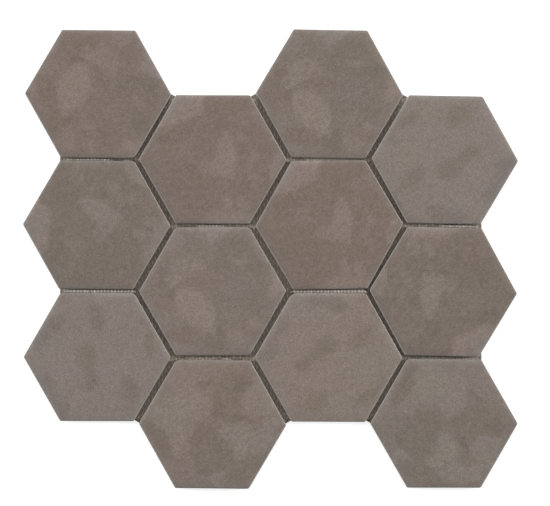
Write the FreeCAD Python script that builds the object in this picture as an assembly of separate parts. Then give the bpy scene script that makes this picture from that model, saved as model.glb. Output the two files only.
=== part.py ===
import FreeCAD
import Part
import math
import os

# A sheet of hexagon floor tile: twelve pressed porcelain hexagons lying face up, held one open
# joint apart by a single glass-fibre mesh that is glued to their backs.
# Sizes are in millimetres. X runs across the columns, Y runs up each column and Z rises from the
# floor to the walking face. The origin is on the floor, at the middle of the sheet's outline.

# One tile: a regular hexagon with flats towards +Y and -Y and points towards +X and -X.
tile_across_flats = 76.0  # a nominal 3 inch hexagon
tile_thickness = 8.0
corner_radius = 1.2  # of the upright corners, seen from above
arris_radius = 0.6  # of the edge between the walking face and the sides
foot_bevel = 0.4  # small bevel round the back, left by the press

# The pattern: columns a to d from the left, rows 1 to 3 from the top, every second column lower.
column_count = 4
row_count = 3
row_joint = 1.9  # open joint between two tiles of one column
column_joint = 2.65  # open joint between tiles of neighbouring columns

# How each tile sits off the regular pattern after setting by hand:
# shift along X, shift along Y, and turn in degrees, anticlockwise from above.
on_pattern = (0.0, 0.0, 0.0)
hand_setting = {
    "a1": (0.5, -0.2, -0.6),
    "a2": (-0.4, 0.4, -0.6),
    "a3": (-0.1, 0.3, -0.2),
    "b1": (-0.1, 0.1, -0.2),
    "b2": (-0.2, 0.1, 0.2),
    "b3": (-0.2, -0.5, -0.6),
    "c1": (0.5, -0.2, -1.0),
    "c2": (0.4, 0.4, 0.9),
    "c3": (0.0, 0.0, -0.3),
    "d1": (0.3, -0.1, -1.0),
    "d2": (-0.6, -0.2, -1.3),
    "d3": (-0.2, 0.0, -0.1),
}

# The backing mesh: one sheet, whose edge is cut a little inside the tiles' outer edges.
mesh_thickness = 0.5
mesh_set_back = 1.2

# Distances that follow from the sizes above.
row_pitch = tile_across_flats + row_joint
half_row = row_pitch / 2
column_pitch = (tile_across_flats + column_joint - half_row / 2) / math.cos(math.radians(30))

parts_folder = "parts"
up = FreeCAD.Vector(0, 0, 1)


def plan_vector(length, degrees):
    """A level vector of that length, turned anticlockwise from +X."""
    angle = math.radians(degrees)
    return FreeCAD.Vector(length * math.cos(angle), length * math.sin(angle), 0)


def hexagon_wire():
    """The tile's outline on Z = 0: six straight flats joined by round corners."""
    point_distance = tile_across_flats / 2 / math.cos(math.radians(30))
    tangent_length = corner_radius * math.tan(math.radians(30))
    cut_back = corner_radius / math.cos(math.radians(30)) - corner_radius
    corners = []
    for k in range(6):
        point = plan_vector(point_distance, 60 * k)
        start = point + plan_vector(tangent_length, 60 * k - 120)
        middle = point + plan_vector(cut_back, 60 * k + 180)
        end = point + plan_vector(tangent_length, 60 * k + 120)
        corners.append((start, middle, end))
    edges = []
    for k, (start, middle, end) in enumerate(corners):
        next_start = corners[(k + 1) % 6][0]
        edges.append(Part.Arc(start, middle, end).toShape())
        edges.append(Part.LineSegment(end, next_start).toShape())
    return Part.Wire(edges)


def edges_at(solid, height):
    """The solid's edges that lie level at one height."""
    slack = 1e-6
    found = []
    for edge in solid.Edges:
        box = edge.BoundBox
        if abs(box.ZMin - height) < slack and abs(box.ZMax - height) < slack:
            found.append(edge)
    return found


def tile_solid():
    """One tile on Z = 0, with its arris rounded and its back edge bevelled."""
    solid = Part.Face(hexagon_wire()).extrude(up * tile_thickness)
    solid = solid.makeFillet(arris_radius, edges_at(solid, tile_thickness))
    return solid.makeChamfer(foot_bevel, edges_at(solid, 0))


def pattern_places():
    """Every tile's label and its place on the regular pattern, counted from tile a1."""
    places = {}
    for column in range(column_count):
        for row in range(row_count):
            label = chr(ord("a") + column) + str(row + 1)
            drop = half_row if column % 2 else 0
            places[label] = (column * column_pitch, -row * row_pitch - drop)
    return places


def set_tiles():
    """The tiles where they were set, resting on the mesh."""
    tiles = {}
    for label, (x, y) in pattern_places().items():
        shift_x, shift_y, turn = hand_setting.get(label, on_pattern)
        tile = tile_solid()
        tile.rotate(FreeCAD.Vector(0, 0, 0), up, turn)
        tile.translate(FreeCAD.Vector(x + shift_x, y + shift_y, mesh_thickness))
        tiles["tile_" + label] = tile
    return tiles


def pattern_cell(x, y):
    """The face of the pattern that belongs to one tile, out to the middle of its joints."""
    reach_squared = (column_pitch**2 + half_row**2) / 2
    point_x = reach_squared / column_pitch
    flat_x = (reach_squared - half_row**2) / column_pitch
    ring = [
        (point_x, 0),
        (flat_x, half_row),
        (-flat_x, half_row),
        (-point_x, 0),
        (-flat_x, -half_row),
        (flat_x, -half_row),
    ]
    points = [FreeCAD.Vector(x + dx, y + dy, 0) for dx, dy in ring]
    return Part.Face(Part.makePolygon(points + points[:1]))


def backing_mesh():
    """The mesh as one thin sheet that follows the zigzag of the outer tiles."""
    cells = [pattern_cell(x, y) for x, y in pattern_places().values()]
    whole = cells[0].multiFuse(cells[1:]).removeSplitter().Faces[0]
    draw_in = column_joint / 2 + mesh_set_back
    cut = whole.makeOffset2D(-draw_in, join=2)  # join 2 keeps the corners sharp
    return cut.Faces[0].extrude(up * mesh_thickness)


def main():
    pieces = set_tiles()
    middle = Part.makeCompound(list(pieces.values())).BoundBox.Center
    pieces["backing_mesh"] = backing_mesh()
    os.makedirs(parts_folder, exist_ok=True)
    for name, piece in pieces.items():
        piece.translate(FreeCAD.Vector(-middle.x, -middle.y, 0))
        solid = piece.Solids[0]
        print(name, "volume", round(solid.Volume, 1), "valid", solid.isValid())
        solid.exportStep(os.path.join(parts_folder, name + ".step"))


main()
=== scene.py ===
import cmath
import math
import bpy
import numpy as np
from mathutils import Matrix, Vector, noise


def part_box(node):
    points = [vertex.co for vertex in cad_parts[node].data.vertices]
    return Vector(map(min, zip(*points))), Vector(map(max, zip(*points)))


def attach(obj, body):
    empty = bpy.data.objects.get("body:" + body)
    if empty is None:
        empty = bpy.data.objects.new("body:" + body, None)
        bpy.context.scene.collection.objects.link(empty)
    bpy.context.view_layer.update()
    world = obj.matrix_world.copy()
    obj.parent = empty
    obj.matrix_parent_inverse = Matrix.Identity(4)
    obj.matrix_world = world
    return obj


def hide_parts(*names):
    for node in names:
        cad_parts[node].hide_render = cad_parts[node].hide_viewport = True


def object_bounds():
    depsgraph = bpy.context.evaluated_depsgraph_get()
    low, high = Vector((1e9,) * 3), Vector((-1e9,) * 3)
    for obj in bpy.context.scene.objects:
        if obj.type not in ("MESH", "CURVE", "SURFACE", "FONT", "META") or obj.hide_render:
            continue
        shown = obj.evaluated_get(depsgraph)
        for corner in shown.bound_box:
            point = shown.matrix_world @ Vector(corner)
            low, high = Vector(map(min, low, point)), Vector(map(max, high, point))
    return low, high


# One sheet of hexagon floor tile, seen from straight above: twelve printed porcelain tiles
# on a glass-fibre backing mesh. Everything is in metres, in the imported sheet's own frame.

print("loading the packed sheet")
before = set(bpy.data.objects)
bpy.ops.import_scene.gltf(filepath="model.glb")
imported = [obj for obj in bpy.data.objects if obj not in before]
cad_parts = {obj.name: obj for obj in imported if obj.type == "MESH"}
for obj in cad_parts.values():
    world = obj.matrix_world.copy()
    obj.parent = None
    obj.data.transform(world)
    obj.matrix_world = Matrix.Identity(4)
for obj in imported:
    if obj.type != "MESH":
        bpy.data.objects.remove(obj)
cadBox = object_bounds()
mm = 0.001


# Small helpers for meshes and nodes

def ink(red, green, blue):
    # a colour as a screen shows it, from 0 to 255, turned into what a shader takes
    linear = []
    for part in (red, green, blue):
        part = part / 255
        linear.append(part / 12.92 if part <= 0.04045 else ((part + 0.055) / 1.055) ** 2.4)
    return (*linear, 1.0)


def addPiece(name, points, faces, materials, faceMaterials=None, sharpAngle=35):
    mesh = bpy.data.meshes.new(name)
    mesh.from_pydata(points, [], faces)
    for material in materials:
        mesh.materials.append(material)
    if faceMaterials is not None:
        mesh.polygons.foreach_set("material_index", faceMaterials)
    mesh.shade_smooth()
    mesh.set_sharp_from_angle(angle=math.radians(sharpAngle))
    piece = bpy.data.objects.new(name, mesh)
    bpy.context.scene.collection.objects.link(piece)
    return piece


def addNode(tree, kind, inputs=None, **settings):
    node = tree.nodes.new(kind)
    for name, value in settings.items():
        setattr(node, name, value)
    for name, value in (inputs or {}).items():
        if isinstance(value, bpy.types.NodeSocket):
            tree.links.new(value, node.inputs[name])
        else:
            node.inputs[name].default_value = value
    return node


def maths(tree, operation, *values):
    return addNode(tree, "ShaderNodeMath", dict(enumerate(values)), operation=operation).outputs[0]


def vectorMaths(tree, operation, *values):
    node = addNode(tree, "ShaderNodeVectorMath", dict(enumerate(values)), operation=operation)
    return node.outputs["Value" if operation in ("DOT_PRODUCT", "LENGTH") else "Vector"]


def scaled(tree, vector, size):
    sockets = {0: vector, "Scale": size}
    return addNode(tree, "ShaderNodeVectorMath", sockets, operation="SCALE").outputs[0]


def between(tree, value, fromLow, fromHigh, toLow=0.0, toHigh=1.0, kind="SMOOTHSTEP"):
    sockets = {
        "Value": value,
        "From Min": fromLow,
        "From Max": fromHigh,
        "To Min": toLow,
        "To Max": toHigh,
    }
    node = addNode(tree, "ShaderNodeMapRange", sockets, interpolation_type=kind, clamp=True)
    return node.outputs["Result"]


def blend(tree, share, under, over, way="MIX"):
    node = addNode(tree, "ShaderNodeMix", data_type="RGBA", blend_type=way)
    for index, value in ((0, share), (6, under), (7, over)):
        if isinstance(value, bpy.types.NodeSocket):
            tree.links.new(value, node.inputs[index])
        else:
            node.inputs[index].default_value = value
    return node.outputs[2]


def noiseAt(tree, place, scale, detail=2.0, roughness=0.5, output="Fac"):
    sockets = {"Vector": place, "Scale": scale, "Detail": detail, "Roughness": roughness}
    return addNode(tree, "ShaderNodeTexNoise", sockets).outputs[output]


def cellsAt(tree, place, scale):
    return addNode(tree, "ShaderNodeTexVoronoi", {"Vector": place, "Scale": scale}).outputs


def spread(tree, noisy, low, high, reach=0.2):
    # the middle of a noise's range, laid out evenly from low to high
    return between(tree, noisy, 0.5 - reach, 0.5 + reach, low, high, "LINEAR")


def marbled(tree, noisy, inkPair, reach=0.15):
    # one ink where a noise is low and the other where it is high
    return blend(tree, between(tree, noisy, 0.5 - reach, 0.5 + reach), *inkPair)


def spotOnSheet(tree):
    # the place on the sheet, in millimetres
    return scaled(tree, addNode(tree, "ShaderNodeTexCoord").outputs["Object"], 1 / mm)


def seenWhite(tree):
    # 1 for the rays that show a thing itself, 0 for those that only light the others
    rays = addNode(tree, "ShaderNodeLightPath").outputs
    seen = maths(tree, "MAXIMUM", rays["Is Camera Ray"], rays["Is Glossy Ray"])
    return maths(tree, "MAXIMUM", seen, rays["Is Transmission Ray"])


def newMaterial(name, specular):
    material = bpy.data.materials.new(name)
    material.use_nodes = True
    shader = material.node_tree.nodes["Principled BSDF"]
    shader.inputs["Specular IOR Level"].default_value = specular
    return material, material.node_tree, shader


def addBump(tree, shader, height, depth, strength):
    sockets = {"Height": height, "Distance": depth, "Strength": strength}
    bump = addNode(tree, "ShaderNodeBump", sockets)
    tree.links.new(bump.outputs["Normal"], shader.inputs["Normal"])


# The printed faces

inks = {
    "bog": ink(117, 107, 97),
    "deepUmber": ink(119, 108, 99),
    "deepMoss": ink(119.8, 110, 101.5),
    "umber": ink(122, 110, 101),
    "moss": ink(123.5, 113, 104.5),
    "olive": ink(125, 114, 104),
    "slate": ink(126, 115, 109),
    "rose": ink(126, 112, 105),
    "mid": ink(127, 115.5, 107.5),
    "fern": ink(133.5, 123.5, 114.5),
    "sand": ink(132, 120.5, 112.5),
    "stone": ink(134.5, 122.8, 114.8),
    "bone": ink(133.5, 122.5, 114.8),
    "oat": ink(136, 124.3, 116),
    "mauve": ink(135, 123, 117),
    "lilac": ink(134, 124, 117.5),
    "blush": ink(137, 124, 116),
    "pale": ink(139, 128, 120),
}

# Each print is a field colour with clouds laid over it, in millimetres from the tile's middle.
# A round cloud: ink, x, y, half its width, half its height, its tilt in degrees, how strong.
# A cornered cloud: ink, its corners anticlockwise, how strong.
prints = {
    "umberFace": {
        "field": "umber",
        "clouds": [
            ("mid", 4, 0, 34, 30, 0, 0.3),
            ("moss", -35, 2, 7, 8, 0, 0.5),
            ("deepUmber", -14, -12, 15, 12, 0, 0.55),
            ("deepUmber", -22, 14, 13, 4.5, 5, 0.7),
            ("deepUmber", 5, 22, 5, 7, 0, 0.8),
            ("deepUmber", 12, 33, 9, 5, 0, 0.4),
            ("sand", 20, 25, 7, 5, 20, 0.4),
            ("sand", 16, 13, 4, 4, 0, 0.45),
            ("sand", -16, 4, 5, 5.5, 0, 0.4),
            ("sand", -14, 11, 3, 4, 0, 0.3),
            ("deepUmber", 15, 6, 4, 5, 0, 0.7),
            ("blush", [(-44, 19), (-21, 21), (-9, 25), (-3, 40), (-44, 44)], 0.9),
            ("lilac", -23, 32, 9, 6, 0, 0.6),
            ("sand", -4, -4, 4.5, 4.5, 0, 0.7),
            ("stone", [(0, -9), (13, -10), (15.5, -1), (8, 17), (5.5, 17), (-0.5, -2)], 0.95),
            ("sand", 24, 2, 3.5, 4, 0, 0.75),
            ("sand", 21.5, -6, 3.5, 6, 0, 0.45),
            ("sand", 26, -11, 5, 2.5, 0, 0.45),
            ("bog", 21, -14.5, 3, 2, 0, 0.7),
            ("blush", 36.5, -5, 3, 7.5, -20, 0.8),
            ("deepUmber", 31, -13, 2.5, 4, 0, 0.7),
            ("blush", 10, -36, 15, 5.5, 0, 0.85),
            ("sand", 9, -27, 3.8, 5.5, 0, 0.85),
            ("sand", 18, -27, 3.2, 6, -15, 0.8),
            ("rose", 28, -20, 6, 6, 0, 0.5),
            ("rose", 28, 17, 4, 6, 0, 0.6),
            ("rose", -20, -24, 9, 6, 20, 0.4),
        ],
    },
    "riverFace": {
        "field": "mid",
        "clouds": [
            ("moss", 15, 6, 20, 23, 0, 0.75),
            ("deepMoss", 10, 30, 8, 5.5, 0, 0.8),
            ("deepMoss", 4, 20, 5.5, 6, 0, 0.8),
            ("deepMoss", 15, 26, 8, 4.5, 0, 0.35),
            ("deepMoss", 27, 13, 7, 4.5, 0, 0.9),
            ("slate", 14, 2, 10, 7, 0, 0.6),
            ("deepMoss", 22, -8, 5.5, 3.5, 0, 0.6),
            ("moss", 5, -16, 5, 8, 0, 0.5),
            ("sand", 15, 19, 6.5, 2, -5, 0.85),
            ("sand", 13, -13, 2.5, 5.5, -35, 0.75),
            ("umber", -29, 14, 5, 5.5, 0, 0.7),
            ("umber", -32, 4, 6.5, 9, 0, 0.7),
            ("deepUmber", -23.5, 0, 3.5, 4.5, 0, 0.95),
            ("rose", -31, -5, 6, 5, 0, 0.6),
            ("umber", -16, -26, 10, 4.5, -8, 0.8),
            ("deepUmber", 3, -28, 8, 7, 0, 0.75),
            ("sand", [(-25, 5), (-9, 9), (-5, 14), (-8, 21), (-17, 20), (-23, 14)], 0.85),
            ("pale", -24, 7, 4, 3, 0, 0.4),
            ("lilac", -21, 15, 4, 5, 0, 0.4),
            ("lilac", -20, 30, 6, 4, 0, 0.4),
            ("moss", -12, 27, 6, 6, 0, 0.7),
            ("moss", -3, 19, 3.5, 3, 0, 0.6),
            ("rose", -10, 5.5, 7, 3.5, 0, 0.9),
            ("rose", 4, 6, 4.5, 2.5, 0, 0.7),
            ("lilac", [(-7, 38), (-2, 28), (3, 28), (8, 34), (11, 38)], 0.9),
            ("oat", [(-12, 3), (-22, -1), (-22, -10), (-17, -19),
                     (-9, -23), (0, -24), (2, -13), (-3, -3)], 0.95),
            ("blush", -5, -13, 5, 7, 10, 0.5),
            ("sand", 14, -29, 7, 4.5, 0, 0.8),
            ("blush", 24, -18, 4.5, 1.8, -10, 0.8),
            ("rose", 22, -24, 6, 4, 0, 0.5),
            ("deepMoss", 26, -28, 3, 4, 0, 0.5),
            ("blush", 37, 1, 3.5, 8, 0, 0.8),
            ("lilac", -18, -33, 8, 2.5, 0, 0.4),
            ("fern", -27, -17, 3, 6, 20, 0.4),
        ],
    },
    "paleFace": {
        "field": "bone",
        "cloudEdge": 0.5,
        "dapple": 0.05,
        "clouds": [
            ("fern", -22, 4, 12, 8, 0, 0.6),
            ("mauve", 18, -12, 10, 8, 0, 0.7),
            ("lilac", 12, -26, 12, 6, 0, 0.5),
            ("mauve", 3, 12, 11, 8, 0, 0.8),
            ("fern", -8, 28, 9, 7, 0, 0.6),
            ("sand", -14, -22, 8, 6, 0, 0.5),
            ("mauve", 26, 24, 8, 8, 0, 0.4),
            ("olive", 2, -6, 7, 5.5, 20, 0.95),
            ("olive", 8, -1, 7, 4, 35, 0.95),
            ("umber", 15, 4, 4.5, 5, 0, 0.75),
            ("olive", -20, -12, 8.5, 5, 40, 0.95),
            ("olive", 8, 27, 9, 5, 35, 0.95),
            ("olive", -23, 24, 9, 3.5, 35, 1.0),
            ("mid", -32, 14, 3, 5, -30, 0.8),
            ("moss", -4, -31, 6, 5.5, 0, 0.85),
            ("slate", 7, -33, 6.5, 3.5, 0, 0.95),
            ("slate", 37, -2, 7, 4, 10, 0.9),
            ("slate", 32, -10, 3, 7, -35, 0.8),
            ("slate", 27.5, -18, 4, 5.5, -20, 0.9),
            ("deepMoss", -27.5, -25, 2.2, 6.5, 25, 0.8),
            ("rose", -21, -35, 5, 3.5, 0, 0.8),
        ],
    },
    "clayFace": {
        "field": "mid",
        "clouds": [
            ("sand", -14, 27, 13, 8, 0, 0.6),
            ("stone", -16, 15, 9, 10, 0, 0.8),
            ("fern", -24, 5, 11, 12, 0, 0.9),
            ("stone", -20, -12, 6, 8, 0, 0.7),
            ("mauve", [(-11, 3), (-5, 4), (0, 8), (-2, 17), (-9, 20), (-14, 12)], 0.7),
            ("deepUmber", -3, 24.5, 5.5, 3, 10, 0.85),
            ("umber", 8, 15, 9, 14, -15, 0.85),
            ("umber", 14, 29, 9, 6, 20, 0.8),
            ("bog", 17, 24, 5.5, 4, 10, 0.85),
            ("rose", 22, 32, 6, 6, 0, 0.8),
            ("moss", 12, 34, 5, 3, 0, 0.7),
            ("deepUmber", 3, 9, 4, 4, 0, 0.7),
            ("bog", 15, 3.5, 5.5, 2.5, 0, 1.0),
            ("mauve", 24, 15, 6, 8, 0, 0.7),
            ("fern", 32, 10, 5, 8, 0, 0.7),
            ("rose", 26, 3, 7, 2.5, 0, 0.7),
            ("lilac", 34, -3, 5, 7, 0, 0.7),
            ("lilac", 28, -10, 5, 7, 0, 0.7),
            ("deepUmber", -3, -6, 9, 7, -15, 0.85),
            ("deepUmber", -10, -10, 5, 4, 0, 0.7),
            ("deepUmber", 4, -11, 5, 5, 0, 0.6),
            ("deepMoss", 0, -20, 14, 8, 0, 0.8),
            ("deepMoss", 15, -24, 10, 8, 0, 0.75),
            ("bog", -5, -27, 5, 3.5, 0, 0.8),
            ("moss", -5, -21, 4, 3, 0, 0.6),
            ("slate", -16, -25, 6, 5, 0, 0.7),
            ("slate", -11, -33, 8, 3, 0, 0.8),
            ("lilac", 8, -5, 4.5, 3.5, 0, 0.8),
            ("fern", 17, -6, 7, 5, 0, 1.0),
            ("fern", 17, -14, 4.5, 6, -10, 1.0),
            ("moss", 21.5, -4.5, 1.8, 3, 0, 0.8),
            ("lilac", 4, -32, 4.5, 4, 0, 0.8),
            ("deepMoss", 14, -32, 8, 3, 0, 0.6),
            ("deepMoss", 28, -22, 6, 7, -30, 0.7),
            ("deepUmber", -31, -9, 14, 4.2, -56, 0.85),
            ("sand", -26, -25, 4, 6, 0, 0.6),
            ("slate", -26, 19, 6, 3.5, 0, 0.8),
        ],
    },
}

printShape = {
    "cloudEdge": 0.3,  # how soft a cloud's edge is, as a share of its size
    "cornerEdge": 1.5,  # mm, how soft a cornered cloud's edge is
    "bendSize": 9.0,  # mm, the waves that bend the clouds' edges
    "bendReach": 8.0,
    "facetSize": 3.6,  # mm, the small cells that give the edges their corners
    "facetShare": 0.35,
    "frayScale": 0.8,  # per mm, the fine fraying of the edges
    "frayReach": 3.2,
    "dappleSize": (4.16, 2.6),  # mm, the small clouding all over, longer along one slope
    "dappleTilt": 35,
    "dapple": 0.075,  # how much darker or paler it is, unless a print has its own
}


def roundCloud(tree, place, edge, x, y, halfWidth, halfHeight, tilt):
    sockets = {
        "Vector": place,
        "Location": (x, y, 0),
        "Rotation": (0, 0, math.radians(tilt)),
        "Scale": (halfWidth, halfHeight, 1),
    }
    onto = addNode(tree, "ShaderNodeMapping", sockets, vector_type="TEXTURE").outputs["Vector"]
    reach = vectorMaths(tree, "LENGTH", onto)
    return between(tree, reach, 1 + edge, 1 - edge)


def corneredCloud(tree, place, corners):
    # the furthest that a point lies outside any of the sides
    outside = None
    for (x, y), (nextX, nextY) in zip(corners, corners[1:] + corners[:1]):
        outward = Vector((nextY - y, x - nextX, 0)).normalized()
        along = vectorMaths(tree, "DOT_PRODUCT", place, outward)
        away = maths(tree, "SUBTRACT", along, outward.dot((x, y, 0)))
        outside = away if outside is None else maths(tree, "MAXIMUM", outside, away)
    return between(tree, outside, printShape["cornerEdge"], -printShape["cornerEdge"])


def facePrint(name, recipe):
    group = bpy.data.node_groups.new(name, "ShaderNodeTree")
    group.interface.new_socket("Place", in_out="INPUT", socket_type="NodeSocketVector")
    group.interface.new_socket("Colour", in_out="OUTPUT", socket_type="NodeSocketColor")
    start = group.nodes.new("NodeGroupInput")
    end = group.nodes.new("NodeGroupOutput")
    place = start.outputs["Place"]
    half = (0.5, 0.5, 0.5)

    bends = noiseAt(group, place, 1 / printShape["bendSize"], 1.5, 0.5, "Color")
    bent = scaled(group, vectorMaths(group, "SUBTRACT", bends, half), printShape["bendReach"])
    frays = noiseAt(group, place, printShape["frayScale"], 2.0, 0.6, "Color")
    frayed = scaled(group, vectorMaths(group, "SUBTRACT", frays, half), printShape["frayReach"])
    moved = vectorMaths(group, "ADD", vectorMaths(group, "ADD", place, bent), frayed)
    cells = cellsAt(group, moved, 1 / printShape["facetSize"])
    jump = vectorMaths(group, "SUBTRACT", cells["Position"], moved)
    moved = vectorMaths(group, "ADD", moved, scaled(group, jump, printShape["facetShare"]))
    moved = vectorMaths(group, "MULTIPLY", moved, (1, 1, 0))

    colour = inks[recipe["field"]]
    edge = recipe.get("cloudEdge", printShape["cloudEdge"])
    for cloud in recipe["clouds"]:
        if len(cloud) == 3:
            inkName, corners, strength = cloud
            shape = corneredCloud(group, moved, corners)
        else:
            inkName, *sizes, strength = cloud
            shape = roundCloud(group, moved, edge, *sizes)
        colour = blend(group, maths(group, "MULTIPLY", shape, strength), colour, inks[inkName])
    sockets = {
        "Vector": place,
        "Rotation": (0, 0, math.radians(printShape["dappleTilt"])),
        "Scale": (*printShape["dappleSize"], 1),
    }
    brushed = addNode(group, "ShaderNodeMapping", sockets, vector_type="TEXTURE").outputs["Vector"]
    dapple = noiseAt(group, brushed, 1.0, 2, 0.5)
    strength = recipe.get("dapple", printShape["dapple"])
    dapple = spread(group, dapple, 1 - strength, 1 + strength)
    colour = blend(group, 1.0, colour, dapple, "MULTIPLY")
    group.links.new(colour, end.inputs["Colour"])
    return group


print("mixing the four face prints")
printGroups = {name: facePrint(name, recipe) for name, recipe in prints.items()}


# The tiles

# Which print each tile has, by how many sixths of a turn it was laid clockwise, the slight
# shade of its batch, how far it came out of the kiln undersized, and how round its corners
# are, anticlockwise from the one towards +X (mm)
tileLaying = {
    "a1": {"print": "riverFace", "sixths": 1, "shade": (0.971, 0.94, 0.927), "shrink": 0.25,
           "corners": (1.7, 1.4, 1.2, 1.2, 1.4, 4.6)},
    "a2": {"print": "umberFace", "sixths": 5, "shade": (0.965, 0.975, 0.97), "shrink": 0.0,
           "corners": (1.7, 3.3, 2.7, 1.4, 1.4, 2.0)},
    "a3": {"print": "paleFace", "sixths": 2, "shade": (0.996, 0.992, 0.997), "shrink": 0.12,
           "corners": (1.4, 3.3, 2.7, 1.4, 1.2, 1.4)},
    "b1": {"print": "umberFace", "sixths": 0, "shade": (0.999, 0.975, 0.971), "shrink": 0.0,
           "corners": (2.0, 1.4, 1.4, 1.7, 1.2, 1.2)},
    "b2": {"print": "riverFace", "sixths": 0, "shade": (1.007, 0.997, 0.99), "shrink": 0.1,
           "corners": (2.4, 4.0, 2.4, 2.0, 3.0, 5.0)},
    "b3": {"print": "clayFace", "sixths": 0, "shade": (1.034, 1.013, 0.996), "shrink": 0.06,
           "corners": (1.4, 2.7, 4.3, 1.7, 1.4, 2.0)},
    "c1": {"print": "riverFace", "sixths": 0, "shade": (0.974, 0.967, 0.952), "shrink": 0.1,
           "corners": (1.4, 2.0, 1.4, 1.4, 3.7, 4.3)},
    "c2": {"print": "umberFace", "sixths": 0, "shade": (0.991, 0.96, 0.949), "shrink": 0.0,
           "corners": (1.7, 1.7, 1.4, 1.4, 1.2, 1.4)},
    "c3": {"print": "paleFace", "sixths": 3, "shade": (1.011, 0.992, 0.974), "shrink": 0.0,
           "corners": (1.4, 2.0, 5.6, 1.4, 1.4, 1.4)},
    "d1": {"print": "paleFace", "sixths": 0, "shade": (0.987, 0.985, 0.986), "shrink": 0.2,
           "corners": (2.0, 2.0, 1.4, 1.4, 1.6, 1.6)},
    "d2": {"print": "umberFace", "sixths": 3, "shade": (0.967, 0.965, 0.957), "shrink": 0.0,
           "corners": (1.7, 1.4, 1.6, 2.4, 1.7, 2.4)},
    "d3": {"print": "clayFace", "sixths": 1, "shade": (1.001, 1.004, 1.001), "shrink": 0.0,
           "corners": (1.4, 1.4, 2.7, 1.4, 1.7, 2.0)},
}

tileShape = {
    "arrisRadius": 0.6 * mm,
    "pillowDrop": 0.8 * mm,  # how far the face falls towards its edge
    "pillowReach": 2.0 * mm,
    "narrowing": 0.2 * mm,  # how far each point towards +X or -X stays short
    "footBevel": 0.4 * mm,
    "rings": 56,  # of the lattice on the walking face
    "arrisSteps": 6,
    "wallSteps": 4,
    "crowding": 0.7,  # draws the lattice's points together towards the corners
    "waveDepth": 0.05 * mm,  # how far the pressed face dips, never above its height
    "waveSize": 17 * mm,
    "arrisWear": 0.05 * mm,  # how far the arris is rubbed back in places
    "wearSize": 2.2 * mm,
    "wallWear": 0.35,  # how much of that wear the wall has
    "seedStep": 0.37,  # so that no two tiles have the same waves
}

glaze = {
    "grainScale": 2.06,  # per mm
    "grain": 0.3,  # how much darker or paler it makes the print
    "grainBump": (0.12 * mm, 0.5),  # depth and strength
    "mottleScale": 0.16,
    "mottle": 0.02,
    "edgeLift": (0.5, 0.95, 1.3),  # how much paler and cooler the print gets with the edge's slope
    "edgeSlope": 0.33,  # the slope past which it gets no paler
    "edgePower": 1.5,
    "rim": ink(182, 176, 169),  # the painted highlight's colour on the arrises
    "rimStart": 0.33,  # the slope at which it starts to show
    "rimFull": 0.6,
    "rimLean": 0.3,  # how much more painted highlight the arrises facing -Y get than those facing +Y
    "rimRagged": 0.25,
    "rimScale": 0.8,  # per mm
    "rimShare": 0.75,
    "roughness": (0.85, 0.71),  # in the grain's hollows and on its tops
    "specular": 0.25,
}

clay = {
    "inks": (ink(138, 129, 119), ink(150, 141, 131)),
    "castScale": 0.25,  # per mm, as the next two are
    "speckScale": 1.6,
    "pitScale": 2.0,
    "pitBump": (0.15 * mm, 0.6),
    "speck": ink(108, 100, 91),
    "roughness": (0.82, 0.92),
    "specular": 0.25,
}


def readTile(nodeName):
    # a tile's middle, its turn from the pattern, half its width across flats, and its heights
    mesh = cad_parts[nodeName].data
    low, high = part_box(nodeName)
    middle = (low + high) / 2
    swing = 0
    for face in mesh.polygons:
        if abs(face.normal.z) < 0.01:
            swing -= face.area * cmath.exp(6j * math.atan2(face.normal.y, face.normal.x))
    turn = cmath.phase(swing) / 6
    across = Vector((-math.sin(turn), math.cos(turn), 0))
    halfFlats = max((point.co - middle).dot(across) for point in mesh.vertices)
    return {
        "x": middle.x,
        "y": middle.y,
        "turn": turn,
        "halfFlats": halfFlats,
        "foot": low.z,
        "top": high.z,
    }


def onSheet(place, x, y, z):
    # a point given from a tile's middle and along its own axes
    cosTurn, sinTurn = math.cos(place["turn"]), math.sin(place["turn"])
    return (place["x"] + x * cosTurn - y * sinTurn, place["y"] + x * sinTurn + y * cosTurn, z)


def wallReach(place, laying):
    # from a tile's middle to its walls, in the visual model
    return place["halfFlats"] - laying["shrink"] * mm


def hexRing(perSide, halfFlats, radii, crowding):
    # points round a hexagon with round corners, anticlockwise from the corner on +X
    pointReach = halfFlats / math.cos(math.pi / 6)
    share = np.arange(perSide) / perSide
    share = share - crowding * np.sin(2 * np.pi * share) / (2 * np.pi)
    angles = np.arange(7) * math.pi / 3
    corners = pointReach * np.stack([np.cos(angles), np.sin(angles)], 1)
    ring = []
    for k in range(6):
        ring.append(corners[k] + share[:, None] * (corners[k + 1] - corners[k]))
    ring = np.concatenate(ring)
    for corner, radius in zip(corners, radii):
        near = np.linalg.norm(ring - corner, axis=1) < radius * math.tan(math.pi / 6) + 1e-9
        pivot = corner * (1 - radius / math.cos(math.pi / 6) / pointReach)
        spoke = ring[near] - pivot
        ring[near] = pivot + radius * spoke / np.linalg.norm(spoke, axis=1)[:, None]
    return ring


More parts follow.
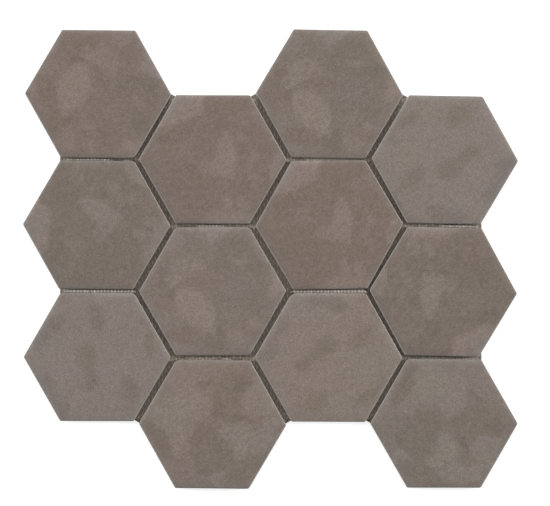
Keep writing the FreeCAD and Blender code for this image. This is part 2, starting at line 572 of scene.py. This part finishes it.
def tilePoints(place, laying, seed):
    # rings from the middle of the face outwards, over the arris, down the wall and under the foot
    shape = tileShape
    rings = shape["rings"]
    arris = shape["arrisRadius"]
    flats = wallReach(place, laying)
    radii = np.array(laying["corners"]) * mm
    crowding = shape["crowding"]
    layers = []  # outline, height, how much the face's waves and the wear count there

    def faceHeight(inset):
        return place["top"] - shape["pillowDrop"] * math.exp(-inset / shape["pillowReach"])

    for r in range(1, rings + 1):
        share = r / rings
        outline = hexRing(r, (flats - arris) * share, (radii - arris) * share, crowding * share**2)
        layers.append((outline, faceHeight(flats - (flats - arris) * share), 1.0, 0.0))
    for step in range(1, shape["arrisSteps"] + 1):
        bend = math.pi / 2 * step / shape["arrisSteps"]
        inset = arris * (1 - math.sin(bend))
        outline = hexRing(rings, flats - inset, radii - inset, crowding)
        height = faceHeight(inset) - arris * (1 - math.cos(bend))
        layers.append((outline, height, math.cos(bend), math.sin(2 * bend)))
    wallTop = faceHeight(0) - arris
    wallFoot = place["foot"] + shape["footBevel"]
    for step in range(1, shape["wallSteps"] + 1):
        height = wallTop + (wallFoot - wallTop) * step / shape["wallSteps"]
        layers.append((hexRing(rings, flats, radii, crowding), height, 0.0, shape["wallWear"]))
    inset = shape["footBevel"]
    layers.append((hexRing(rings, flats - inset, radii - inset, crowding), place["foot"], 0.0, 0.0))

    points = [(place["x"], place["y"], place["top"] - 0.5 * shape["waveDepth"])]
    for outline, height, wave, wear in layers:
        for x, y in outline:
            dip = 0.5 + 0.5 * noise.noise(Vector((x, y, seed)) / shape["waveSize"])
            rub = 0.5 + 0.5 * noise.noise(Vector((x, y, height + seed)) / shape["wearSize"])
            shrink = 1 - shape["arrisWear"] * rub * wear / flats
            x, y = x * shrink * (1 - shape["narrowing"] / flats), y * shrink
            z = height - shape["waveDepth"] * min(max(dip, 0), 1) * wave
            points.append(onSheet(place, x, y, z))
    return points


def tileFaces():
    rings = tileShape["rings"]
    faces = []
    starts = [0, 1]
    for r in range(1, rings + 1):
        outer, inner = starts[r], starts[r - 1]
        for k in range(6):
            for j in range(r):
                here = outer + k * r + j
                following = outer + (k * r + j + 1) % (6 * r)
                if r == 1:
                    faces.append((0, here, following))
                    continue
                behind = inner + (k * (r - 1) + j) % (6 * (r - 1))
                faces.append((behind, here, following))
                if j < r - 1:
                    ahead = inner + (k * (r - 1) + j + 1) % (6 * (r - 1))
                    faces.append((behind, following, ahead))
        starts.append(outer + 6 * r)
    count = 6 * rings
    upper = starts[rings]
    for _ in range(tileShape["arrisSteps"]):
        faces += bandFaces(upper, upper + count, count)
        upper += count
    faceCount = len(faces)
    for _ in range(tileShape["wallSteps"] + 1):
        faces += bandFaces(upper, upper + count, count)
        upper += count
    faces.append(tuple(reversed(range(upper, upper + count))))
    return faces, [0] * faceCount + [1] * (len(faces) - faceCount)


def bandFaces(upper, lower, count):
    band = []
    for i in range(count):
        after = (i + 1) % count
        band.append((upper + i, lower + i, lower + after, upper + after))
    return band


def faceMaterial(label, place, laying):
    material, tree, shader = newMaterial("printedFace" + label.upper(), glaze["specular"])
    angle = place["turn"] - math.radians(60 * laying["sixths"])
    sockets = {
        "Vector": addNode(tree, "ShaderNodeTexCoord").outputs["Object"],
        "Location": (place["x"], place["y"], place["foot"]),
        "Rotation": (0, 0, angle),
        "Scale": (mm, mm, mm),
    }
    spot = addNode(tree, "ShaderNodeMapping", sockets, vector_type="TEXTURE").outputs["Vector"]
    flat = vectorMaths(tree, "MULTIPLY", spot, (1, 1, 0))
    printed = addNode(tree, "ShaderNodeGroup", node_tree=printGroups[laying["print"]])
    tree.links.new(flat, printed.inputs["Place"])
    colour = blend(tree, 1.0, printed.outputs["Colour"], (*laying["shade"], 1), "MULTIPLY")

    # soft mottling and the leathery grain, which aren't part of the print
    own = spotOnSheet(tree)
    mottle = noiseAt(tree, own, glaze["mottleScale"], 3, 0.6)
    mottle = spread(tree, mottle, 1 - glaze["mottle"], 1 + glaze["mottle"])
    grainNoise = noiseAt(tree, own, glaze["grainScale"], 2, 0.55)
    grain = spread(tree, grainNoise, 1 - glaze["grain"], 1 + glaze["grain"])
    colour = blend(tree, 1.0, colour, maths(tree, "MULTIPLY", mottle, grain), "MULTIPLY")

    # the print is thinner where the face falls away
    normal = addNode(tree, "ShaderNodeNewGeometry").outputs["Normal"]
    slope = vectorMaths(tree, "LENGTH", vectorMaths(tree, "MULTIPLY", normal, (1, 1, 0)))
    slope = maths(tree, "MINIMUM", slope, glaze["edgeSlope"])
    slope = maths(tree, "POWER", slope, glaze["edgePower"])
    lift = vectorMaths(tree, "MULTIPLY_ADD", slope, glaze["edgeLift"], (1, 1, 1))
    colour = vectorMaths(tree, "MULTIPLY", colour, lift)
    # painted highlight on the arrises, strongest where they face +X or -X, more facing -Y than +Y
    slant = vectorMaths(tree, "LENGTH", vectorMaths(tree, "MULTIPLY", normal, (1, 0, 0)))
    lean = vectorMaths(tree, "DOT_PRODUCT", normal, (0, -glaze["rimLean"], 0))
    ragged = noiseAt(tree, own, glaze["rimScale"], 3, 0.6)
    ragged = maths(tree, "MULTIPLY", maths(tree, "SUBTRACT", ragged, 0.5), glaze["rimRagged"])
    slant = maths(tree, "ADD", maths(tree, "ADD", slant, lean), ragged)
    paintedHighlight = between(tree, slant, glaze["rimStart"], glaze["rimFull"])
    colour = blend(tree, maths(tree, "MULTIPLY", paintedHighlight, glaze["rimShare"]), colour, glaze["rim"])
    tree.links.new(colour, shader.inputs["Base Color"])

    gloss = spread(tree, grainNoise, *glaze["roughness"], reach=0.15)
    tree.links.new(gloss, shader.inputs["Roughness"])
    addBump(tree, shader, grainNoise, *glaze["grainBump"])
    return material


def bodyMaterial():
    material, tree, shader = newMaterial("porcelainBody", clay["specular"])
    spot = spotOnSheet(tree)
    specks = cellsAt(tree, spot, clay["speckScale"])["Distance"]
    cast = noiseAt(tree, spot, clay["castScale"], 3, 0.6)
    colour = marbled(tree, cast, clay["inks"])
    colour = blend(tree, between(tree, specks, 0.16, 0.1, 0, 0.5), colour, clay["speck"])
    tree.links.new(colour, shader.inputs["Base Color"])
    tree.links.new(spread(tree, cast, *clay["roughness"]), shader.inputs["Roughness"])
    pits = noiseAt(tree, spot, clay["pitScale"], 4, 0.65)
    addBump(tree, shader, pits, *clay["pitBump"])
    return material


print("pressing and laying twelve tiles")
porcelainBody = bodyMaterial()
faces, faceMaterials = tileFaces()
for number, (label, laying) in enumerate(tileLaying.items()):
    place = readTile("tile_" + label)
    materials = [faceMaterial(label, place, laying), porcelainBody]
    points = tilePoints(place, laying, number * tileShape["seedStep"])
    tile = addPiece("tile" + label.upper(), points, faces, materials, faceMaterials)
    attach(tile, "root")
    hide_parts("tile_" + label)


# The backing mesh

net = {
    "pitch": 2.0 * mm,  # from yarn to yarn, both ways
    "yarnWidth": (0.5 * mm, 0.75 * mm),  # across and up the sheet
    "yarnHeight": 0.22 * mm,
    "weaveRise": 0.11 * mm,  # over and under each crossing
    "wander": 0.12 * mm,  # how far a yarn strays from its line
    "wanderSteps": (130, 1.7, 5),  # how that changes along a yarn, from yarn to yarn, and by set
    "edgeInset": 0.15 * mm,
    "filmLow": 0.16 * mm,
    "filmHigh": 0.28 * mm,
    "tabRoot": 2.2 * mm,  # the tabs that fill the joints' open ends
    "tabReach": 2.05 * mm,
    "tabHalfWidth": 2.4 * mm,
}

yarnLook = {
    "acrossInks": (ink(176, 165, 150), ink(208, 198, 183)),
    "upInks": (ink(232, 224, 211), ink(248, 243, 233)),
    "sizing": ink(176, 164, 148),
    "sizingScale": 0.5,  # per mm
    "strandScales": (0.4, 9),  # per mm, along a yarn and across it
    "strandBump": (0.05 * mm, 0.6),
    "roughness": (0.62, 0.4),
    "specular": 0.4,
}

filmLook = {
    "inks": (ink(178, 165, 149), ink(204, 191, 175)),
    "poolScale": 0.35,  # per mm
    "bubble": ink(212, 201, 186),
    "bubbleScale": 1.1,
    "bubbleDip": 0.3,
    "poolBump": (0.1 * mm, 0.7),
    "roughness": (0.6, 0.4),
    "specular": 0.4,
}

tabLook = {
    "inks": (ink(140, 130, 119), ink(174, 163, 151)),
    "smudgeScale": 0.9,  # per mm
    "smudgeBump": (0.1 * mm, 0.6),
    "roughness": 0.8,
    "specular": 0.25,
}


def readOutline(nodeName):
    # the corners of the backing mesh's upper face, in order
    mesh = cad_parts[nodeName].data
    spots = [(round(v.co.x, 7), round(v.co.y, 7)) for v in mesh.vertices]
    sides = set()
    for face in mesh.polygons:
        if face.normal.z > 0.9:
            ring = [spots[i] for i in face.vertices]
            for a, b in zip(ring, ring[1:] + ring[:1]):
                if (b, a) in sides:
                    sides.remove((b, a))
                else:
                    sides.add((a, b))
    following = dict(sides)
    outline = [min(following)]
    while following[outline[-1]] != outline[0]:
        outline.append(following[outline[-1]])
    return outline


def openEnds(outline):
    # for every inward corner of the outline, the five corners of a tab that fills the joint's end
    tabs = []
    for i, corner in enumerate(outline):
        middle = Vector(corner)
        before = (Vector(outline[i - 1]) - middle).normalized()
        after = (Vector(outline[(i + 1) % len(outline)]) - middle).normalized()
        if before.cross(after) > 0:
            outward = (before + after).normalized()
            aside = Vector((-outward.y, outward.x)) * net["tabHalfWidth"]
            aside *= math.copysign(1, aside.dot(after))
            tip = middle + outward * net["tabReach"]
            tabs.append([middle, middle + before * net["tabRoot"], tip - aside, tip + aside,
                         middle + after * net["tabRoot"]])
    return tabs


def spansInside(outline, axis, level):
    # where the line at that level of the other axis runs inside the outline
    other = 1 - axis
    crossings = []
    for a, b in zip(outline, outline[1:] + outline[:1]):
        if (a[other] > level) != (b[other] > level):
            share = (level - a[other]) / (b[other] - a[other])
            crossings.append(a[axis] + share * (b[axis] - a[axis]))
    crossings.sort()
    return list(zip(crossings[0::2], crossings[1::2]))


def yarnSet(name, outline, axis, parity, material):
    # flat yarns along one axis, each over and under the ones that cross it
    pitch = net["pitch"]
    halfWidth, halfHeight = net["yarnWidth"][axis] / 2, net["yarnHeight"] / 2
    midHeight = (net["filmLow"] + net["filmHigh"]) / 2
    alongStep, yarnStep, setStep = net["wanderSteps"]
    section = ((halfWidth, 0), (0, halfHeight), (-halfWidth, 0), (0, -halfHeight))
    other = 1 - axis
    low = min(p[other] for p in outline)
    high = max(p[other] for p in outline)
    points, faces = [], []
    for i in range(math.ceil(low / pitch), math.floor(high / pitch) + 1):
        level = i * pitch
        for start, stop in spansInside(outline, axis, level):
            start, stop = start + net["edgeInset"], stop - net["edgeInset"]
            if stop - start < pitch:
                continue
            first, last = math.floor(start / pitch) + 1, math.ceil(stop / pitch) - 1
            stations = [(start, first - 1)]
            stations += [(j * pitch, j) for j in range(first, last + 1)]
            stations.append((stop, last + 1))
            base = len(points)
            for along, j in stations:
                rise = net["weaveRise"] * (1 if (i + j + parity) % 2 else -1)
                if along in (start, stop):
                    rise = 0
                where = Vector((along * alongStep, i * yarnStep, axis * setStep))
                drift = net["wander"] * noise.noise(where)
                for across, up in section:
                    spot = [0, 0, midHeight + rise + up]
                    spot[axis] = along
                    spot[other] = level + drift + across
                    points.append(spot)
            for s in range(len(stations) - 1):
                for c in range(4):
                    here, beside = base + 4 * s + c, base + 4 * s + (c + 1) % 4
                    quad = (here, beside, beside + 4, here + 4)
                    faces.append(quad if axis else quad[::-1])
            end = base + 4 * (len(stations) - 1)
            caps = ((base + 3, base + 2, base + 1, base), (end, end + 1, end + 2, end + 3))
            faces += caps if axis else [cap[::-1] for cap in caps]
    return addPiece(name, points, faces, [material], sharpAngle=80)


def yarnMaterial(axis):
    look = yarnLook
    name = "glassYarnUp" if axis else "glassYarnAcross"
    material, tree, shader = newMaterial(name, look["specular"])
    spot = spotOnSheet(tree)
    coarse, fine = look["strandScales"]
    stretch = (fine, coarse, fine) if axis else (coarse, fine, fine)
    strands = noiseAt(tree, vectorMaths(tree, "MULTIPLY", spot, stretch), 1.0, 3, 0.6)
    size = noiseAt(tree, spot, look["sizingScale"], 3, 0.6)
    colour = marbled(tree, strands, look["upInks" if axis else "acrossInks"], reach=0.2)
    colour = blend(tree, between(tree, size, 0.45, 0.65, 0, 0.6), colour, look["sizing"])
    tree.links.new(colour, shader.inputs["Base Color"])
    tree.links.new(spread(tree, size, *look["roughness"]), shader.inputs["Roughness"])
    addBump(tree, shader, strands, *look["strandBump"])
    return material


def filmMaterial():
    look = filmLook
    material, tree, shader = newMaterial("meshAdhesive", look["specular"])
    spot = spotOnSheet(tree)
    pools = noiseAt(tree, spot, look["poolScale"], 4, 0.6)
    bubbles = cellsAt(tree, spot, look["bubbleScale"])["Distance"]
    colour = marbled(tree, pools, look["inks"])
    colour = blend(tree, between(tree, bubbles, 0.25, 0.1, 0, 0.4), colour, look["bubble"])
    tree.links.new(colour, shader.inputs["Base Color"])
    tree.links.new(spread(tree, pools, *look["roughness"]), shader.inputs["Roughness"])
    dips = maths(tree, "MULTIPLY", bubbles, -look["bubbleDip"])
    addBump(tree, shader, maths(tree, "ADD", pools, dips), *look["poolBump"])
    return material


def selvedgeMaterial():
    # the film's bare ends, in a darker ink than the film
    look = tabLook
    material, tree, shader = newMaterial("meshSelvedge", look["specular"])
    smudge = noiseAt(tree, spotOnSheet(tree), look["smudgeScale"], 4, 0.65)
    tree.links.new(marbled(tree, smudge, look["inks"]), shader.inputs["Base Color"])
    shader.inputs["Roughness"].default_value = look["roughness"]
    addBump(tree, shader, smudge, *look["smudgeBump"])
    return material


def filmPiece(outline, tabs):
    points, faces, kinds = [], [], []
    for k, ring in enumerate([outline] + tabs):
        count = len(ring)
        base = len(points)
        for height in (net["filmHigh"], net["filmLow"]):
            points += [(x, y, height) for x, y in ring]
        faces.append(tuple(range(base, base + count)))
        faces.append(tuple(reversed(range(base + count, base + 2 * count))))
        faces += bandFaces(base, base + count, count)
        kinds += [1 if k else 0] * (count + 2)
    return addPiece("backingMesh", points, faces, [filmMaterial(), selvedgeMaterial()], kinds)


print("weaving the backing mesh")
outline = readOutline("backing_mesh")
film = filmPiece(outline, openEnds(outline))
acrossYarns = yarnSet("yarnsAcross", outline, 0, 0, yarnMaterial(0))
upYarns = yarnSet("yarnsUp", outline, 1, 1, yarnMaterial(1))
for piece in (film, acrossYarns, upYarns):
    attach(piece, "root")
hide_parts("backing_mesh")
sides = zip(outline, outline[1:] + outline[:1])
meshArea = abs(sum(a[0] * b[1] - b[0] * a[1] for a, b in sides)) / 2


# Adhesive that was squeezed up between some tiles, with a bead at every yarn

glue = {
    "foot": 0.2 * mm,
    "low": 6.5 * mm,  # the lowest and the highest top of a bead
    "high": 7.5 * mm,
    "dip": 0.06,  # how much lower the ridge is between two beads, and how much narrower
    "pinch": 0.08,
    "steps": 4,  # from bead to bead
    "taperSteps": 5,  # at each end of a ridge
    "endHeight": 0.8,  # how high and how wide a ridge's end is, of the whole
    "endWidth": 0.4,
    # across and up, of half the width and of the whole height
    "section": ((1, 0), (1, 0.6), (0.8, 0.86), (0.35, 0.97),
                (-0.2, 1), (-0.75, 0.97), (-1, 0.9), (-1, 0)),
    "unevenSteps": (0.19, 3.1),  # how the height changes along a ridge and from ridge to ridge
    "inks": (ink(160, 151, 142), ink(208, 200, 192)),  # between the beads and on them
    "gritScale": 0.9,  # per mm
    "gritBump": (0.1 * mm, 0.6),
    "roughness": 0.6,
    "specular": 0.3,
    # the tile whose upper edge has a ridge, where along it (mm) that starts and stops, and how
    # much of the joint's width it fills
    "runs": (
        ("a2", -20.5, 9, 0.8),
        ("a2", 14, 21, 0.55),
        ("a3", -20.5, 23.2, 0.95),
        ("b2", -10, 8, 0.7),
        ("b3", 4, 11, 0.55),
        ("c3", -23.2, 23.2, 0.92),
        ("d2", -4, 21, 0.84),
    ),
}


def glueBeads():
    points, faces = [], []
    count = len(glue["section"])
    step = net["pitch"] / glue["steps"]
    alongStep, ridgeStep = glue["unevenSteps"]
    for number, (label, start, stop, filled) in enumerate(glue["runs"]):
        labelAbove = label[0] + str(int(label[1]) - 1)
        place, above = readTile("tile_" + label), readTile("tile_" + labelAbove)
        wall = wallReach(place, tileLaying[label])
        wallAbove = wallReach(above, tileLaying[labelAbove])
        first = math.ceil((place["x"] + start * mm) / step)
        last = math.floor((place["x"] + stop * mm) / step)
        base = len(points)
        for i in range(first, last + 1):
            waist = 0.5 - 0.5 * math.cos(2 * math.pi * i / glue["steps"])  # 1 between two beads
            fullness = min((min(i - first, last - i) + 1) / glue["taperSteps"], 1)
            uneven = noise.noise(Vector((i * alongStep, number * ridgeStep, 0)))
            size = min(max(0.5 + uneven, 0), 1)
            top = glue["low"] + (glue["high"] - glue["low"]) * size
            top *= 1 - glue["dip"] * waist
            top *= glue["endHeight"] + (1 - glue["endHeight"]) * fullness
            x = i * step - place["x"]
            upper = above["y"] - wallAbove + math.tan(above["turn"]) * (i * step - above["x"])
            lower = place["y"] + wall + math.tan(place["turn"]) * x
            halfWidth = filled * (upper - lower) / 2 * (1 - glue["pinch"] * waist)
            halfWidth *= glue["endWidth"] + (1 - glue["endWidth"]) * fullness
            for across, rise in glue["section"]:
                y = wall + halfWidth * (1 + across)
                points.append(onSheet(place, x, y, glue["foot"] + (top - glue["foot"]) * rise))
        for i in range(last - first):
            faces += bandFaces(base + (i + 1) * count, base + i * count, count)
        faces.append(tuple(reversed(range(base, base + count))))
        faces.append(tuple(range(len(points) - count, len(points))))
    return addPiece("glueBeads", points, faces, [glueMaterial()], sharpAngle=70)


def glueMaterial():
    material, tree, shader = newMaterial("driedAdhesive", glue["specular"])
    spot = spotOnSheet(tree)
    grit = noiseAt(tree, spot, glue["gritScale"], 4, 0.6)
    along = addNode(tree, "ShaderNodeSeparateXYZ", {"Vector": spot}).outputs["X"]
    beat = maths(tree, "COSINE", maths(tree, "MULTIPLY", along, 2 * math.pi * mm / net["pitch"]))
    bead, patchy = between(tree, beat, -0.1, 0.9), between(tree, grit, 0.38, 0.6, 0.1, 1)
    colour = blend(tree, maths(tree, "MULTIPLY", bead, patchy), *glue["inks"])
    tree.links.new(colour, shader.inputs["Base Color"])
    shader.inputs["Roughness"].default_value = glue["roughness"]
    addBump(tree, shader, grit, *glue["gritBump"])
    return material


print("squeezing up the adhesive")
beads = glueBeads()
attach(beads, "root")


# Floor, light and camera

studio = {
    "floorSize": 12.0,
    "floorLevel": -0.05 * mm,
    "paper": (0.61, 0.63),
    "paperScale": 40,  # per m
    "floorRoughness": 0.9,
    "floorGlow": 0.74,  # lifts the pale paper to white in the picture, under the soft shadow
    "ambient": 0.43,
    "ambientLean": 0.5,  # how much brighter the room is towards +Y than overhead
    # each lamp's place round the sheet and its height, in degrees, its share of the light on
    # the walking faces, and its width and length
    "lamps": {
        "lampLeft": (175, 30, 0.17, 0.16, 0.55),
        "lampRight": (5, 30, 0.19, 0.16, 0.55),
        "lampBack": (85, 20, 0.17, 1.1, 0.4),
    },
    "lampDistance": 1.7,
    "cameraHeight": 3.0,  # above the walking faces
    "cameraX": 2.53 * mm,
    "cameraY": 3.5 * mm,
    "sensorWidth": 36,  # mm
    "viewWidth": 324.7 * mm,  # what the picture's width takes in, on the walking faces
    "clips": (0.05, 50),
}


def floorMaterial():
    material, tree, shader = newMaterial("studioFloor", 0.0)
    spot = addNode(tree, "ShaderNodeTexCoord").outputs["Object"]
    paper = noiseAt(tree, spot, studio["paperScale"], 3, 0.6)
    tree.links.new(spread(tree, paper, *studio["paper"]), shader.inputs["Base Color"])
    shader.inputs["Roughness"].default_value = studio["floorRoughness"]
    shader.inputs["Emission Color"].default_value = (1, 1, 1, 1)
    glow = maths(tree, "MULTIPLY", seenWhite(tree), studio["floorGlow"])
    tree.links.new(glow, shader.inputs["Emission Strength"])
    return material


def whiteWorld():
    world = bpy.data.worlds.new("studioWorld")
    world.use_nodes = True
    tree = world.node_tree
    background = tree.nodes["Background"]
    towards = addNode(tree, "ShaderNodeTexCoord").outputs["Generated"]
    slope = (0, studio["ambient"] * studio["ambientLean"], 0)
    room = maths(tree, "ADD", vectorMaths(tree, "DOT_PRODUCT", towards, slope), studio["ambient"])
    strength = maths(tree, "MAXIMUM", seenWhite(tree), room)
    tree.links.new(strength, background.inputs["Strength"])
    background.inputs["Color"].default_value = (1, 1, 1, 1)
    bpy.context.scene.world = world


def addLamp(name, around, raised, share, width, length):
    lamp = bpy.data.lights.new(name, "AREA")
    lamp.shape = "RECTANGLE"
    lamp.size = width
    lamp.size_y = length
    distance = studio["lampDistance"]
    around, raised = math.radians(around), math.radians(raised)
    level, up = distance * math.cos(raised), distance * math.sin(raised)
    lamp.energy = share * math.pi**2 * distance**2 / math.sin(raised)
    stand = bpy.data.objects.new(name, lamp)
    stand.location = (level * math.cos(around), level * math.sin(around), up)
    stand.rotation_euler = (-stand.location).to_track_quat("-Z", "Y").to_euler()
    bpy.context.scene.collection.objects.link(stand)


print("setting the floor, the lamps and the camera")
half = studio["floorSize"] / 2
corners = ((-half, -half), (half, -half), (half, half), (-half, half))
floorCorners = [(x, y, studio["floorLevel"]) for x, y in corners]
floor = addPiece("floor", floorCorners, [(0, 1, 2, 3)], [floorMaterial()])
whiteWorld()
for name, setting in studio["lamps"].items():
    addLamp(name, *setting)

camera = bpy.data.cameras.new("camera")
camera.sensor_width = studio["sensorWidth"]
camera.lens = studio["sensorWidth"] * studio["cameraHeight"] / studio["viewWidth"]
camera.clip_start, camera.clip_end = studio["clips"]
tripod = bpy.data.objects.new("camera", camera)
tripod.location = (studio["cameraX"], studio["cameraY"], cadBox[1].z + studio["cameraHeight"])
bpy.context.scene.collection.objects.link(tripod)
bpy.context.scene.camera = tripod
bpy.context.scene.view_settings.view_transform = "Standard"
